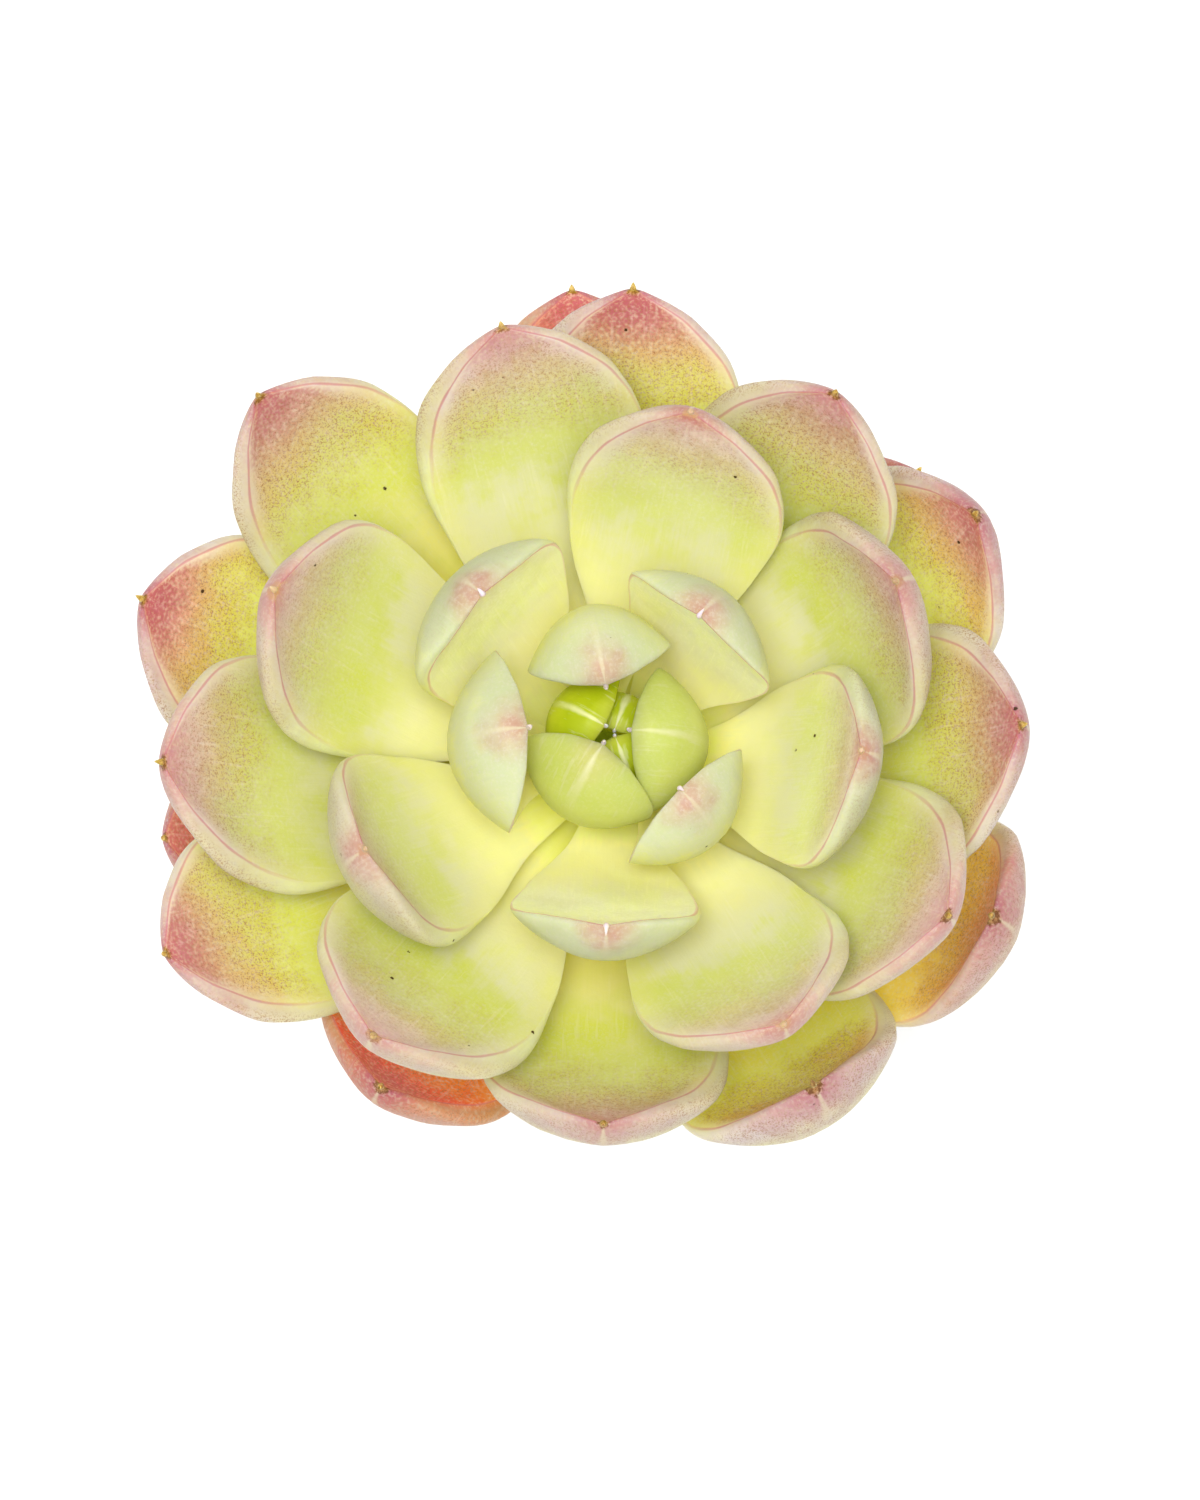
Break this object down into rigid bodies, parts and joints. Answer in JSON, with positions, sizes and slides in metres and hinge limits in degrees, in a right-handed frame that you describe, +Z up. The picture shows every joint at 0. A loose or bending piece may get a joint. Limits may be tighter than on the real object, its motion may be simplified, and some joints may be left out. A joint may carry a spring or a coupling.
{
  "type": "potted succulent",
  "caption": "Fleshy rosette of thick pointed green leaves with pink tips on a short stem, planted in a plain round white ceramic pot.",
  "frame": {"origin": "on the surface the pot stands on, under the middle of the plant's and the pot's common bounding box, which is the pot's axis", "axes": "+Z up along the pot's axis; -Y is the front, the side the picture was taken from; +X is to the right seen from the front"},
  "size_m": [0.0932, 0.0916, 0.1055],
  "materials": {
    "leaf_green": "soft waxy, pink towards the tip",
    "stem_green": "dull",
    "potting_soil": "loose, crumbly",
    "white_glaze": "smooth glaze"
  },
  "bodies": {
    "root": {"leaf_01": "leaf_green", "leaf_02": "leaf_green", "leaf_03": "leaf_green", "leaf_04": "leaf_green", "leaf_05": "leaf_green", "leaf_06": "leaf_green", "leaf_07": "leaf_green", "leaf_08": "leaf_green", "leaf_09": "leaf_green", "leaf_10": "leaf_green", "leaf_11": "leaf_green", "leaf_12": "leaf_green", "leaf_13": "leaf_green", "leaf_14": "leaf_green", "leaf_15": "leaf_green", "leaf_16": "leaf_green", "leaf_17": "leaf_green", "leaf_18": "leaf_green", "leaf_19": "leaf_green", "leaf_20": "leaf_green", "leaf_21": "leaf_green", "leaf_22": "leaf_green", "leaf_23": "leaf_green", "leaf_24": "leaf_green", "leaf_25": "leaf_green", "leaf_26": "leaf_green", "leaf_27": "leaf_green", "leaf_28": "leaf_green", "leaf_29": "leaf_green", "leaf_30": "leaf_green", "leaf_31": "leaf_green", "leaf_32": "leaf_green", "leaf_33": "leaf_green", "leaf_34": "leaf_green", "leaf_35": "leaf_green", "stem": "stem_green", "potting_soil": "potting_soil", "pot": "white_glaze"}
  },
  "joints": []
}
